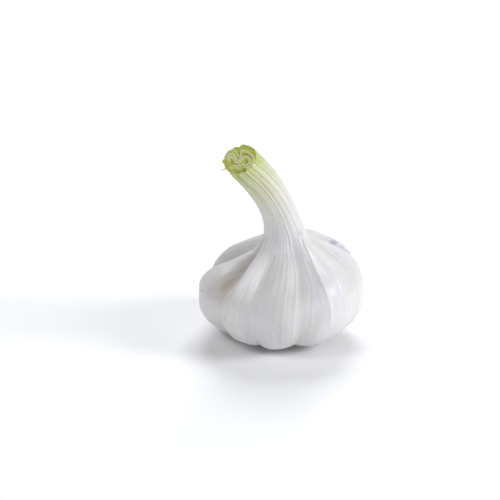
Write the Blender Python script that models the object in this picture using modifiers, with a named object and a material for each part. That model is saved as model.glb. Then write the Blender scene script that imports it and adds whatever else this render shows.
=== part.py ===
"""A garlic bulb standing on its trimmed roots: cloves wrapped in white skin, with a bent neck cut off square.

The wrapped cloves and the neck grew as one piece, so they are one solid. It is turned as a straight
form first, then pushed in along the valleys between the cloves, and last its neck is bent along a curve.
The corky root plate and the tuft of dried roots under it are solids of their own.
Units are metres, +Z is up, and the origin is the middle of the flat under the roots.
"""

import math

import bpy
from mathutils import Vector
from mathutils.geometry import interpolate_bezier

# Roots and root plate
TUFT_RADIUS = 0.0092
TUFT_HEIGHT = 0.0023
TUFT_ROUNDING = 0.0006
PLATE_RADIUS = 0.0084
PLATE_THICKNESS = 0.0024
PLATE_ROUNDING = 0.0007
PIECE_GAP = 0.0003

# The wrapped cloves
SOLE_RADIUS = 0.0158
SOLE_HEIGHT = 0.0007
BELLY_RADIUS = 0.0300
BELLY_HEIGHT = 0.0165
SHOULDER_FULLNESS = 0.66
VALLEY_DEPTH = 0.0014
SOLE_VALLEY_DEPTH = 0.0024
SHOULDER_TILT = 0.0016
HIGH_SIDE_DEG = 50.0

# The neck
NECK_RADIUS = 0.0059
NECK_FOOT = Vector((0.0016, 0.0000, 0.0352))
NECK_FLARE_TOP = 0.0402
CUT_RADIUS = 0.0060
CUT_CENTRE = Vector((-0.0148, -0.0103, 0.0699))
CUT_DIRECTION = Vector((-0.43, -0.66, 0.62)).normalized()

# Each clove, counter-clockwise from the one at the right: its width as a share of the turn, how far it
# stands out from the round form, how far its shoulder rises, and how far its bottom rises.
CLOVES = (
    (47, 0.0003, 0.0000, 0.0010),
    (43, 0.0010, 0.0008, 0.0006),
    (40, 0.0004, 0.0004, 0.0008),
    (44, 0.0008, 0.0010, 0.0004),
    (42, 0.0002, 0.0004, 0.0009),
    (48, 0.0004, 0.0000, 0.0011),
    (53, 0.0003, 0.0000, 0.0000),
    (54, 0.0004, 0.0000, 0.0010),
)
FIRST_VALLEY_DEG = -15.0

TURN_STEPS = 64
COLOURS = {
    "bulb": ((0.86, 0.85, 0.80), 0.45),
    "root_plate": ((0.42, 0.33, 0.22), 0.85),
    "root_tuft": ((0.36, 0.26, 0.17), 0.90),
}


def clear_scene():
    """Removes what is in the scene, so that only this object is built."""
    for thing in list(bpy.data.objects):
        bpy.data.objects.remove(thing)


def make_collection(name):
    """A collection of that name, linked to the scene."""
    found = bpy.data.collections.new(name)
    bpy.context.scene.collection.children.link(found)
    return found


def give_material(thing):
    """The plain material of this piece."""
    colour, roughness = COLOURS[thing.name]
    made = bpy.data.materials.new(thing.name)
    made.use_nodes = True
    shader = made.node_tree.nodes["Principled BSDF"]
    shader.inputs["Base Color"].default_value = (*colour, 1.0)
    shader.inputs["Roughness"].default_value = roughness
    shader.inputs["Metallic"].default_value = 0.0
    thing.data.materials.append(made)


def bezier(start, start_handle, end_handle, end, count):
    """count points along a Bezier curve in the plane of the profile, each a (radius, height) pair."""
    ends = [Vector((x, y)) for x, y in (start, start_handle, end_handle, end)]
    return [(point.x, point.y) for point in interpolate_bezier(*ends, count)]


def turned_mesh(name, profile, steps):
    """A closed mesh turned from a profile of (radius, height) pairs that runs down the outer side."""
    outline = bpy.data.meshes.new(name + "_profile")
    points = [(radius, 0.0, height) for radius, height in profile]
    edges = [(i, i + 1) for i in range(len(points) - 1)]
    outline.from_pydata(points, edges, [])
    helper = bpy.data.objects.new(name + "_profile", outline)
    bpy.context.scene.collection.objects.link(helper)
    turn = helper.modifiers.new("turn", "SCREW")
    turn.axis = "Z"
    turn.steps = steps
    turn.render_steps = steps
    turn.use_merge_vertices = True
    turn.merge_threshold = 0.00001
    graph = bpy.context.evaluated_depsgraph_get()
    made = bpy.data.meshes.new_from_object(helper.evaluated_get(graph))
    bpy.data.objects.remove(helper)
    bpy.data.meshes.remove(outline)
    made.name = name
    return made


def add_piece(name, mesh, collection):
    """A smooth-shaded object that holds this mesh."""
    thing = bpy.data.objects.new(name, mesh)
    collection.objects.link(thing)
    mesh.shade_smooth()
    mesh.set_sharp_from_angle(angle=math.radians(45))
    give_material(thing)
    return thing


def plate_bottom():
    """Height of the root plate's lower face."""
    return TUFT_HEIGHT + PIECE_GAP


def recess_roof():
    """Height of the roof of the hollow that the root plate sits in."""
    return plate_bottom() + PLATE_THICKNESS + PIECE_GAP


def hollow_radius():
    """Radius of that hollow, clear of the plate and of the roots."""
    return max(PLATE_RADIUS, TUFT_RADIUS) + PIECE_GAP


def neck_curve():
    """Points along the neck's middle line, from its foot to the cut, and the length up to each."""
    span = (CUT_CENTRE - NECK_FOOT).length
    foot_handle = NECK_FOOT + Vector((0.0, 0.0, 0.39 * span))
    cut_handle = CUT_CENTRE - CUT_DIRECTION * (0.34 * span)
    points = interpolate_bezier(NECK_FOOT, foot_handle, cut_handle, CUT_CENTRE, 120)
    lengths = [0.0]
    for here, after in zip(points, points[1:]):
        lengths.append(lengths[-1] + (after - here).length)
    return points, lengths


def bulb_profile(top):
    """The straight form's outline, from the middle of the cut down to the roof of the root hollow."""
    cut_end = [(0.0, top), (0.5 * CUT_RADIUS, top), (CUT_RADIUS, top)]
    length = top - NECK_FLARE_TOP
    neck = bezier(
        (CUT_RADIUS, top),
        (NECK_RADIUS, top - 0.3 * length),
        (NECK_RADIUS, NECK_FLARE_TOP + 0.3 * length),
        (NECK_RADIUS, NECK_FLARE_TOP),
        9,
    )
    rise = NECK_FLARE_TOP - BELLY_HEIGHT
    shoulder = bezier(
        (NECK_RADIUS, NECK_FLARE_TOP),
        (NECK_RADIUS, NECK_FLARE_TOP - 0.36 * rise),
        (BELLY_RADIUS, BELLY_HEIGHT + SHOULDER_FULLNESS * rise),
        (BELLY_RADIUS, BELLY_HEIGHT),
        15,
    )
    drop = BELLY_HEIGHT - SOLE_HEIGHT
    underside = bezier(
        (BELLY_RADIUS, BELLY_HEIGHT),
        (BELLY_RADIUS, BELLY_HEIGHT - 0.60 * drop),
        (SOLE_RADIUS + 0.60 * (BELLY_RADIUS - SOLE_RADIUS), SOLE_HEIGHT),
        (SOLE_RADIUS, SOLE_HEIGHT),
        10,
    )
    roof = recess_roof()
    wall = hollow_radius()
    hollow = bezier(
        (SOLE_RADIUS, SOLE_HEIGHT),
        (SOLE_RADIUS - 0.45 * (SOLE_RADIUS - wall), SOLE_HEIGHT),
        (wall, roof - 0.75 * (roof - SOLE_HEIGHT)),
        (wall, roof),
        8,
    )
    ceiling = [(0.5 * wall, roof), (0.0, roof)]
    return cut_end + neck[1:] + shoulder[1:] + underside[1:] + hollow[1:] + ceiling


def clove_at(angle):
    """The sizes of the clove at this angle in degrees, and 0 on its crest rising to 1 in its valleys."""
    turn = sum(clove[0] for clove in CLOVES)
    left = (angle - FIRST_VALLEY_DEG) % 360.0
    for clove in CLOVES:
        width = clove[0] * 360.0 / turn
        if left <= width:
            across = 2.0 * left / width - 1.0
            return clove[1:], math.sin(0.5 * math.pi * across) ** 4
        left -= width
    return CLOVES[0][1:], 1.0


def fade(value, low, high):
    """0 below low, 1 above high, and a smooth step between them. high may be the smaller one."""
    share = min(1.0, max(0.0, (value - low) / (high - low)))
    return share * share * (3.0 - 2.0 * share)


def push_cloves(mesh):
    """Pushes the turned form in along the valleys between cloves, and out over the fuller cloves."""
    normals = [normal.vector.copy() for normal in mesh.vertex_normals]
    roof = recess_roof()
    wall = hollow_radius()
    for vertex, normal in zip(mesh.vertices, normals):
        place = vertex.co
        radius = math.hypot(place.x, place.y)
        angle = math.degrees(math.atan2(place.y, place.x))
        (fullness, lift, clearance), valley = clove_at(angle)
        on_body = fade(place.z, NECK_FLARE_TOP, 0.60 * NECK_FLARE_TOP)
        in_hollow = fade(radius, SOLE_RADIUS, 0.5 * (SOLE_RADIUS + wall)) * fade(place.z, roof + 0.004, roof)
        low = fade(place.z, BELLY_HEIGHT, SOLE_HEIGHT)
        depth = VALLEY_DEPTH + (SOLE_VALLEY_DEPTH - VALLEY_DEPTH) * low
        high = fade(place.z, BELLY_HEIGHT, 0.78 * NECK_FLARE_TOP)
        reach = fade(radius, 1.05 * NECK_RADIUS, 2.0 * NECK_RADIUS)
        tilt = SHOULDER_TILT * math.cos(math.radians(angle - HIGH_SIDE_DEG))
        push = fullness * (1.0 - valley) - depth * valley
        vertex.co = place + normal * (push * on_body * (1.0 - in_hollow))
        vertex.co.z += (tilt + lift * (1.0 - valley)) * high * reach
        vertex.co.z += clearance * (1.0 - valley) * low * fade(radius, wall, SOLE_RADIUS)
    mesh.update()


def bend_neck(mesh, points, lengths):
    """Lays everything above the neck's foot along its curve, each ring square to it.

    Below the foot, the shoulders lean over until they meet it.
    """
    up = Vector((0.0, 0.0, 1.0))
    last = len(points) - 1
    for vertex in mesh.vertices:
        radius = math.hypot(vertex.co.x, vertex.co.y)
        share = fade(radius, 2.2 * NECK_RADIUS, 1.2 * NECK_RADIUS)
        along = vertex.co.z - NECK_FOOT.z
        if along <= 0.0:
            lean = fade(vertex.co.z, BELLY_HEIGHT, NECK_FOOT.z)
            vertex.co.x += NECK_FOOT.x * lean
            vertex.co.y += NECK_FOOT.y * lean
            continue
        i = next((k for k in range(last) if lengths[k + 1] >= along), last - 1)
        step = points[i + 1] - points[i]
        centre = points[i] + step * ((along - lengths[i]) / step.length)
        before, after = points[max(i - 1, 0)], points[min(i + 2, last)]
        turn = up.rotation_difference((after - before).normalized())
        bent = centre + turn @ Vector((vertex.co.x, vertex.co.y, 0.0))
        straight = vertex.co + Vector((NECK_FOOT.x, NECK_FOOT.y, 0.0))
        vertex.co = straight.lerp(bent, share)
    mesh.update()


def build_bulb(collection):
    """The wrapped cloves and the neck, one grown piece."""
    points, lengths = neck_curve()
    top = NECK_FOOT.z + lengths[-1]
    mesh = turned_mesh("bulb", bulb_profile(top), TURN_STEPS)
    push_cloves(mesh)
    bend_neck(mesh, points, lengths)
    return add_piece("bulb", mesh, collection)


def rounded_disc(radius, bottom, top, rounding):
    """The profile of a disc whose two rims are rounded."""
    upper = bezier((radius - rounding, top), (radius, top), (radius, top), (radius, top - rounding), 4)
    lower = bezier((radius, bottom + rounding), (radius, bottom), (radius, bottom), (radius - rounding, bottom), 4)
    return [(0.0, top)] + upper + lower + [(0.0, bottom)]


def build_root_plate(collection):
    """The corky plate that the cloves and the roots grow from."""
    bottom = plate_bottom()
    profile = rounded_disc(PLATE_RADIUS, bottom, bottom + PLATE_THICKNESS, PLATE_ROUNDING)
    return add_piece("root_plate", turned_mesh("root_plate", profile, 32), collection)


def build_root_tuft(collection):
    """The matted roots, trimmed flat. The bulb stands on them."""
    profile = rounded_disc(TUFT_RADIUS, 0.0, TUFT_HEIGHT, TUFT_ROUNDING)
    return add_piece("root_tuft", turned_mesh("root_tuft", profile, 32), collection)


def main():
    clear_scene()
    collection = make_collection("garlic_bulb")
    build_bulb(collection)
    build_root_plate(collection)
    build_root_tuft(collection)


main()
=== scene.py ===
# %% [markdown]
# # A garlic bulb, from its roots to the cut end of its neck
#
# This file dresses a plain solid model of a bulb of garlic. The solids fix every size: three closed
# bodies for the bulb, the root plate and the tuft of roots. Here each of them gives its place to a
# surface with the shapes and colours that the eye looks for.
#
# Lengths are in metres, +Z is up, and the bulb stands on its roots at the origin. The neck bends
# towards -Y and leans to -X.

# %% Load the solid model
import math

import bmesh
import bpy
import numpy as np
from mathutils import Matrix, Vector, noise


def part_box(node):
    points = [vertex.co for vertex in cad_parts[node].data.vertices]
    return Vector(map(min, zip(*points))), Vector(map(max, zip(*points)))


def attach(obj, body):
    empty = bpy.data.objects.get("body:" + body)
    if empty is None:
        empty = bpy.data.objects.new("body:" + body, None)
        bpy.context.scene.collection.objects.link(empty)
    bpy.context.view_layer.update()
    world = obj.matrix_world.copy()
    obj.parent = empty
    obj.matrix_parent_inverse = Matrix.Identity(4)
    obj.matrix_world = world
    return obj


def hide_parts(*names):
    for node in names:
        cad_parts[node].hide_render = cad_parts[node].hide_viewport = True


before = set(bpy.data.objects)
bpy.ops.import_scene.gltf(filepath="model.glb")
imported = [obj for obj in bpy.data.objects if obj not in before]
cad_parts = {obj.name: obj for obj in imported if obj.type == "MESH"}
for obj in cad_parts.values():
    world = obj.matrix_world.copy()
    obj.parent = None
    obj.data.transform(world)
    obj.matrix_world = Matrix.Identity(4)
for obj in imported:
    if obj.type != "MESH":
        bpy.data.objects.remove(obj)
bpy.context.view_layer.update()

MM = 0.001
bulb_low, bulb_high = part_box("bulb")
plate_low, plate_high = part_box("root_plate")
tuft_low, tuft_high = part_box("root_tuft")
for name, low_corner, high_corner in (
    ("bulb", bulb_low, bulb_high),
    ("root plate", plate_low, plate_high),
    ("root tuft", tuft_low, tuft_high),
):
    print(name, [round((b - a) / MM, 1) for a, b in zip(low_corner, high_corner)], "mm")

# %% [markdown]
# ## The camera
#
# A bulb this size is seen from the far side of a table, a little from above. A long lens keeps its
# proportions true, because a short one would swell the neck, which points at the viewer.

# %% Camera
VIEW_DISTANCE = 0.75
VIEW_WIDTH = 0.185
SENSOR = 36.0
ELEVATION = math.radians(20.0)
TO_VIEWER = Vector((0.0, -math.cos(ELEVATION), math.sin(ELEVATION)))
VIEW_RIGHT = Vector((1.0, 0.0, 0.0))
VIEW_UP = Vector((0.0, math.sin(ELEVATION), math.cos(ELEVATION)))
looked_at = VIEW_RIGHT * -0.0111 + VIEW_UP * 0.0300

camera = bpy.data.objects.new("camera", bpy.data.cameras.new("camera"))
bpy.context.scene.collection.objects.link(camera)
camera.data.sensor_width = SENSOR
camera.data.lens = SENSOR * VIEW_DISTANCE / VIEW_WIDTH
camera.data.clip_start = 0.01
camera.location = looked_at + TO_VIEWER * VIEW_DISTANCE
camera.rotation_euler = TO_VIEWER.to_track_quat("Z", "Y").to_euler()
bpy.context.scene.camera = camera
print("lens", round(camera.data.lens), "mm")

# %% [markdown]
# ## The light
#
# White garlic on a white table only reads by its shading, so the light has to be soft but uneven. A
# strong panel stands on the right and a weaker one high on the left, whose shine shows where the
# skin is drawn tight. A large one behind lifts the far side off the table, a low one in front lights
# the underside of the belly, and a pale sky fills in what is left.
#
# The "Standard" view keeps a white table white. A film-like one would grey it.

# %% Sky
SKY_STRENGTH = 0.25
WARM_WHITE = (1.0, 0.98, 0.96)
COOL_WHITE = (0.94, 0.965, 1.0)

world = bpy.data.worlds.new("soft_sky")
world.use_nodes = True
sky = world.node_tree.nodes["Background"]
sky.inputs["Color"].default_value = (*WARM_WHITE, 1.0)
sky.inputs["Strength"].default_value = SKY_STRENGTH
bpy.context.scene.world = world
bpy.context.scene.view_settings.view_transform = "Standard"

# %% Panels
LIT_POINT = Vector((0.0, 0.0, 0.03))
PANELS = (  # name, place, side of the square, power in watts
    ("panel_right", (1.00, -0.16, 0.50), 0.42, 8.1),
    ("panel_behind", (0.10, 1.30, 1.10), 0.90, 19.5),
    ("panel_left_high", (-0.70, -0.30, 0.80), 0.34, 2.9),
    ("panel_front", (0.30, -1.10, 0.24), 0.50, 2.0),
)
for name, panel_place, side, power in PANELS:
    lamp = bpy.data.lights.new(name, "AREA")
    lamp.size = side
    lamp.energy = power
    lamp.color = COOL_WHITE
    panel = bpy.data.objects.new(name, lamp)
    panel.location = panel_place
    toward = LIT_POINT - panel.location
    panel.rotation_euler = toward.to_track_quat("-Z", "Y").to_euler()
    bpy.context.scene.collection.objects.link(panel)
print(len(PANELS), "panels")

# %% [markdown]
# ## Colours and nodes
#
# Colours are easiest to choose as they look on a screen, as hex values. The renderer adds up light,
# so it needs them linear, and one function does the change. Another adds a node to a material with
# its settings, values and links in one call, and gives back the output that the next node needs.
#
# Three kinds of node come back again and again. A Mix of colours has its share in socket 0 and its
# colours in 6 and 7. A Map Range takes a value in socket 0 and stretches what lies from socket 1 to
# socket 2 so that it lies from 3 to 4. A Math node has its two numbers in 0 and 1.

# %% Helpers for materials


def hex_colour(code):
    """The linear RGBA of an sRGB hex value."""
    parts = [int(code[i : i + 2], 16) / 255.0 for i in (1, 3, 5)]
    linear = [p / 12.92 if p <= 0.04045 else ((p + 0.055) / 1.055) ** 2.4 for p in parts]
    return (*linear, 1.0)


def add_node(tree, kind, settings=None, values=None, links=None, out=0):
    """Adds a node with its settings, values and links. Gives back one of its outputs."""
    made = tree.nodes.new("ShaderNode" + kind)
    for name, value in (settings or {}).items():
        setattr(made, name, value)
    for socket, value in (values or {}).items():
        made.inputs[socket].default_value = value
    for socket, source in (links or {}).items():
        tree.links.new(source, made.inputs[socket])
    return made.outputs[out]


def new_material(name):
    """A material with a Principled shader, its node tree and that shader."""
    made = bpy.data.materials.new(name)
    made.use_nodes = True
    return made, made.node_tree, made.node_tree.nodes["Principled BSDF"]


OF_COLOURS = {"data_type": "RGBA"}
MIXED = 2  # the output of a Mix of colours
TIMES = {"operation": "MULTIPLY"}
MIDDLE_SPREAD = {1: 0.35, 2: 0.65, 3: 0.0, 4: 1.0}  # a noise stays near 0.5, so stretch its middle

# %% [markdown]
# ## The table
#
# A plain board, painted matt white and wide enough that its edge never shows. Being matt, it gives
# back the light evenly and mirrors nothing.

# %% Table
HALF = 3.0
floor_mesh = bpy.data.meshes.new("table")
floor_corners = [(-HALF, -HALF, 0), (HALF, -HALF, 0), (HALF, HALF, 0), (-HALF, HALF, 0)]
floor_mesh.from_pydata(floor_corners, [], [(0, 1, 2, 3)])
table = bpy.data.objects.new("table", floor_mesh)
bpy.context.scene.collection.objects.link(table)

white_board, tree, shader = new_material("white_painted_board")
shader.inputs["Base Color"].default_value = hex_colour("#FAFAFB")
shader.inputs["Roughness"].default_value = 0.7
floor_mesh.materials.append(white_board)

# %% [markdown]
# ## The form of the bulb
#
# A garlic bulb is a ring of cloves that grew round a stem, wrapped together in dry leaf bases. The
# same leaves run on up as the neck. So one surface goes all the way: from the rim of the cut, down
# the neck, over the shoulders and the belly, and in under the cloves to the hollow of the roots.
#
# It could be sculpted, but growth is regular enough to write down. The surface starts as a turned
# form, a grid with a row for each ring and a column for each line from neck to root. The columns
# run the way the leaf fibres do, so everything that follows the fibres is easy to add.

# %% Sizes of the turned form
COLUMNS = 384
NECK_RADIUS = 5.9 * MM
CUT_RADIUS = 6.0 * MM
FLARE_TOP = 40.2 * MM
BELLY_HEIGHT = 16.5 * MM
BELLY_RADIUS = 30.0 * MM
SOLE_RADIUS = 15.8 * MM
SOLE_HEIGHT = 0.9 * MM
ROOM_FOR_ROOTS = 0.4 * MM
HOLLOW_RADIUS = tuft_high[0] + ROOM_FOR_ROOTS
HOLLOW_ROOF = plate_high[2] + ROOM_FOR_ROOTS

# %% Two helpers for smooth shapes


def bezier(ends, count):
    """count points along a Bezier curve through two ends, with a handle for each."""
    a, b, c, d = (np.array(point, float) for point in ends)
    t = np.linspace(0.0, 1.0, count)[:, None]
    return (1 - t) ** 3 * a + 3 * (1 - t) ** 2 * t * b + 3 * (1 - t) * t**2 * c + t**3 * d


def fade(value, low, high):
    """0 at low and before it, 1 at high and past it, smooth between. high may be the smaller."""
    share = np.clip((value - low) / (high - low), 0.0, 1.0)
    return share * share * (3.0 - 2.0 * share)


# %% The middle line of the neck
NECK_FOOT = np.array((1.6, 0.0, 35.2)) * MM
CUT_CENTRE = np.array((-14.8, -10.3, 69.9)) * MM
CUT_DIRECTION = np.array((-0.43, -0.66, 0.62)) / np.linalg.norm((-0.43, -0.66, 0.62))
FOOT_HANDLE = 0.39
CUT_HANDLE = 0.34

span = np.linalg.norm(CUT_CENTRE - NECK_FOOT)
neck_ends = (
    NECK_FOOT,
    NECK_FOOT + np.array((0, 0, FOOT_HANDLE * span)),
    CUT_CENTRE - CUT_DIRECTION * CUT_HANDLE * span,
    CUT_CENTRE,
)
neck_line = bezier(neck_ends, 200)
line_steps = np.linalg.norm(np.diff(neck_line, axis=0), axis=1)
line_run = np.concatenate([[0.0], np.cumsum(line_steps)])
print("the neck's middle line is", round(line_run[-1] / MM, 1), "mm long")

# %% The profile, from the rim of the cut to the roof of the hollow
TOP = NECK_FOOT[2] + line_run[-1]
neck_height = TOP - FLARE_TOP
rise = FLARE_TOP - BELLY_HEIGHT
drop = BELLY_HEIGHT - SOLE_HEIGHT
neck_part = (
    (CUT_RADIUS, TOP),
    (NECK_RADIUS, TOP - 0.3 * neck_height),
    (NECK_RADIUS, FLARE_TOP + 0.3 * neck_height),
    (NECK_RADIUS, FLARE_TOP),
)
shoulder_part = (
    (NECK_RADIUS, FLARE_TOP),
    (NECK_RADIUS, FLARE_TOP - 0.36 * rise),
    (BELLY_RADIUS, BELLY_HEIGHT + 0.66 * rise),
    (BELLY_RADIUS, BELLY_HEIGHT),
)
foot_part = (
    (BELLY_RADIUS, BELLY_HEIGHT),
    (BELLY_RADIUS, BELLY_HEIGHT - 0.6 * drop),
    (SOLE_RADIUS + 0.6 * (BELLY_RADIUS - SOLE_RADIUS), SOLE_HEIGHT),
    (SOLE_RADIUS, SOLE_HEIGHT),
)
hollow_part = (
    (SOLE_RADIUS, SOLE_HEIGHT),
    (0.55 * SOLE_RADIUS + 0.45 * HOLLOW_RADIUS, SOLE_HEIGHT),
    (HOLLOW_RADIUS, 0.25 * HOLLOW_ROOF + 0.75 * SOLE_HEIGHT),
    (HOLLOW_RADIUS, HOLLOW_ROOF),
)
profile = bezier(neck_part, 74)
for part, count in ((shoulder_part, 76), (foot_part, 46), (hollow_part, 12)):
    profile = np.vstack([profile, bezier(part, count)[1:]])
rows = len(profile)
ring_radius, ring_height = profile[:, 0].copy(), profile[:, 1].copy()

# %% [markdown]
# The neck is straight and the shoulder is curved, and where one turns into the other the light would
# draw a line. Leaves bend gently there. So each ring is moved a little towards the middle of its two
# neighbours, over and over, and only near that place.

# %% Ease the bend at the neck's foot
EASING_ROUNDS = 110
EASING_REACH = 7 * MM
SHOULDER_ROWS = 130

near_bend = np.exp(-(((ring_height - FLARE_TOP) / EASING_REACH) ** 2))[1:-1]
easing = 0.25 * near_bend * (np.arange(rows)[1:-1] < SHOULDER_ROWS)
for _ in range(EASING_ROUNDS):
    ring_radius[1:-1] += easing * (ring_radius[:-2] - 2 * ring_radius[1:-1] + ring_radius[2:])
ring_steps = np.hypot(np.diff(ring_radius), np.diff(ring_height))
run = np.concatenate([[0.0], np.cumsum(ring_steps)])
print(rows, "rings of", COLUMNS, "points, from cut to root it is", round(run[-1] / MM), "mm")

# %% [markdown]
# ## Cloves and creases
#
# Eight cloves press outward against the skin. Between two of them the skin sinks, gently at the
# belly where it is stretched, and deep underneath where nothing holds it out.
#
# Each valley has an angle, three depths, at the shoulder, the belly and the foot, and how sharply it
# is creased. Each clove comes after the valley of the same number, and has how far it stands out and
# how far its shoulder and its foot rise. What is pushed goes along the surface's own direction
# outwards, in real millimetres.

# %% Numbers of the cloves
VALLEYS = np.array((24.0, 67.0, 111.0, 159.0, 220.0, 249.0, 283.0, 338.0))
SHOULDER_VALLEY = np.array((1.4, 1.4, 1.8, 1.5, 3.7, 0.4, 0.5, 0.4)) * MM
BELLY_VALLEY = np.array((1.1, 1.1, 1.4, 1.2, 0.3, 0.2, 0.3, 0.3)) * MM
FOOT_VALLEY = np.array((1.7, 1.6, 1.7, 1.6, 1.3, 0.9, 0.8, 1.0)) * MM
CREASE = np.array((0.8, 0.6, 1.0, 0.7, 0.5, 0.35, 0.3, 0.2))
STANDS_OUT = np.array((0.9, 0.4, 0.8, 0.3, 0.6, 0.3, 0.3, 0.4)) * MM
SHOULDER_LIFT = np.array((0.8, 0.4, 1.0, 0.4, 0.0, -0.2, 0.2, 0.0)) * MM
FOOT_LIFT = np.array((0.6, 0.8, 0.4, 0.9, 1.1, 0.0, 0.5, 0.9)) * MM

# %% Where each point of the grid lies
column_angle = np.linspace(0.0, 360.0, COLUMNS, endpoint=False)
radius = np.repeat(ring_radius[:, None], COLUMNS, axis=1)
height = np.repeat(ring_height[:, None], COLUMNS, axis=1)
along = np.repeat(run[:, None], COLUMNS, axis=1)
# Columns follow the fibres, which sway a little on their way down.
turned = np.radians(column_angle)[None, :]
broad_sway = 1.4 * np.sin(2 * turned + along / (11 * MM))
small_sway = 0.8 * np.sin(5 * turned + 1.7 - along / (8 * MM))
theta = (column_angle[None, :] + broad_sway + small_sway) % 360.0

on_body = fade(height, FLARE_TOP, 0.60 * FLARE_TOP)
on_neck = fade(height, 0.85 * FLARE_TOP, 1.05 * FLARE_TOP)
low = fade(height, BELLY_HEIGHT, SOLE_HEIGHT)
high = fade(height, BELLY_HEIGHT, 0.78 * FLARE_TOP)
in_hollow = fade(along, run[-1] - 9 * MM, run[-1] - 3 * MM)


def away_from(angles):
    """How far each point of the grid lies from these angles, in degrees from -180 to 180."""
    return (theta - angles + 180.0) % 360.0 - 180.0


# %% Which clove each point lies on
# The valley on the left swings round towards the back as it climbs to the neck.
SWING, SWING_MIDDLE, SWING_WIDTH = 18.0, 208.0, 28.0
swing_share = np.exp(-(((theta - SWING_MIDDLE) / SWING_WIDTH) ** 2))
clove_angle = theta + SWING * fade(height, 27 * MM, 38 * MM) * swing_share
clove = (np.searchsorted(VALLEYS, clove_angle, side="right") - 1) % len(VALLEYS)
wide = (np.roll(VALLEYS, -1) - VALLEYS) % 360.0
inside = (clove_angle - VALLEYS[clove]) % 360.0
across = 2.0 * inside / wide[clove] - 1.0
valley = np.sin(0.5 * np.pi * across) ** 4
nearest = np.where(across < 0, clove, (clove + 1) % len(VALLEYS))
from_valley = np.radians(np.minimum(inside, wide[clove] - inside)) * radius

# %% Sink the valleys and crease them
depth = (
    BELLY_VALLEY[nearest] * (1 - low) * (1 - high)
    + SHOULDER_VALLEY[nearest] * high
    + FOOT_VALLEY[nearest] * low
)
bulge = STANDS_OUT[clove] * (1 - valley) - depth * valley
push = bulge * fade(height, FLARE_TOP, 0.75 * FLARE_TOP)

crease_depth = (0.22 + 0.10 * fade(height, FLARE_TOP, BELLY_HEIGHT) + 0.9 * low**1.5) * MM
crease_width = (1.4 - 0.5 * low) * MM
crease = crease_depth * np.exp(-((from_valley / crease_width) ** 2))
push -= CREASE[nearest] * crease * fade(height, FLARE_TOP, 0.8 * FLARE_TOP)
print("the deepest valley is", round(-push.min() / MM, 1), "mm")

# %% [markdown]
# ## Where the skin is drawn tight
#
# At the front the neck runs out into the shoulders in a long slope, and the skin stands in tents. One
# long fold runs down the front right, sharp as a tent's ridge, with two short ones beside it.

# %% The slope from the neck to the front
TENT_PUSH, TENT_HEIGHT, TENT_REACH = 2.3 * MM, 38.5 * MM, 7.0 * MM


def patch(where, level, half_width, half_height):
    """A soft spot on the surface round an angle and a height: 1 in its middle, 0 far away."""
    gap = np.radians(away_from(where)) * radius
    return np.exp(-((gap / half_width) ** 2) - ((height - level) / half_height) ** 2)


facing_front = (0.5 - 0.5 * np.cos(np.radians(theta - 95.0))) ** 1.5
push += TENT_PUSH * facing_front * np.exp(-(((height - TENT_HEIGHT) / TENT_REACH) ** 2))
push += 0.5 * MM * patch(236.0, 32 * MM, 4.5 * MM, 5 * MM)

# %% Folds
FOLD_HEIGHTS = np.array((6.0, 9.0, 16.0, 23.0, 27.0, 31.0, 37.0, 42.0)) * MM
FOLD_ANGLES = np.array((308.0, 307.0, 305.0, 303.0, 301.5, 303.0, 312.0, 322.0))
FOLDS = ((0.0, 0.62, 8.0), (-9.0, 0.30, 27.0), (10.0, 0.25, 29.0))  # degrees aside, mm, from mm
for aside, tall, lowest in FOLDS:
    from_fold = np.radians(away_from(np.interp(height, FOLD_HEIGHTS, FOLD_ANGLES + aside))) * radius
    shown = fade(height, lowest * MM, (lowest + 12.0) * MM) * fade(height, 43 * MM, 38 * MM)
    slopes = 0.8 * np.exp(-np.abs(from_fold) / (2.6 * MM))
    ridge = 0.45 * np.exp(-((from_fold / (0.4 * MM)) ** 2))
    push += tall * MM * (slopes + ridge) * shown

# %% [markdown]
# ## Veins and leaf edges
#
# Over the cloves runs the grain of the leaves: veins that stand a tenth of a millimetre proud, packed
# side by side on the neck and fanned out over the belly. Most are faint and a few are strong. Here
# and there the edge of an outer leaf shows as a low step.

# %% Veins
rng = np.random.default_rng(7)
VEINS = 48
STRONG_VEINS = (  # angle, height as a share
    (248, 1.1), (266, 0.9), (272, 0.9), (280, 1.4), (293, 1.0), (320, 0.8), (345, 1.4), (232, 1.1),
)
MOST_VEIN = 2.4

vein_angle = (np.arange(VEINS) + rng.uniform(-0.32, 0.32, VEINS)) * 360.0 / VEINS
vein_tall = 0.10 + 1.1 * rng.uniform(0.0, 1.0, VEINS) ** 2
neck_tall = rng.uniform(0.6, 1.0, VEINS)
for line, tall in STRONG_VEINS:
    pick = np.argmin(np.abs(vein_angle - line))
    vein_angle[pick], vein_tall[pick] = line, tall

COLUMN_STEP = 360.0 / COLUMNS
vein = np.zeros_like(theta)
on_ribs = fade(height, 0.62 * FLARE_TOP, FLARE_TOP)
vein_width = 0.20 * MM + 0.006 * radius
for centre, tall, tall_on_neck in zip(vein_angle, vein_tall, neck_tall):
    # A vein lies on a column, or the grid would chop it up.
    centre = round(centre / COLUMN_STEP) * COLUMN_STEP
    gap = np.radians((column_angle - centre + 180.0) % 360.0 - 180.0)[None, :] * radius
    vein += (tall + (tall_on_neck - tall) * on_ribs) * np.exp(-((gap / vein_width) ** 2))
vein_lift = (0.11 + 0.08 * on_ribs) * MM * (1.0 - 0.7 * low)
push += np.minimum(vein, MOST_VEIN) * vein_lift * (1.0 - in_hollow)

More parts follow.
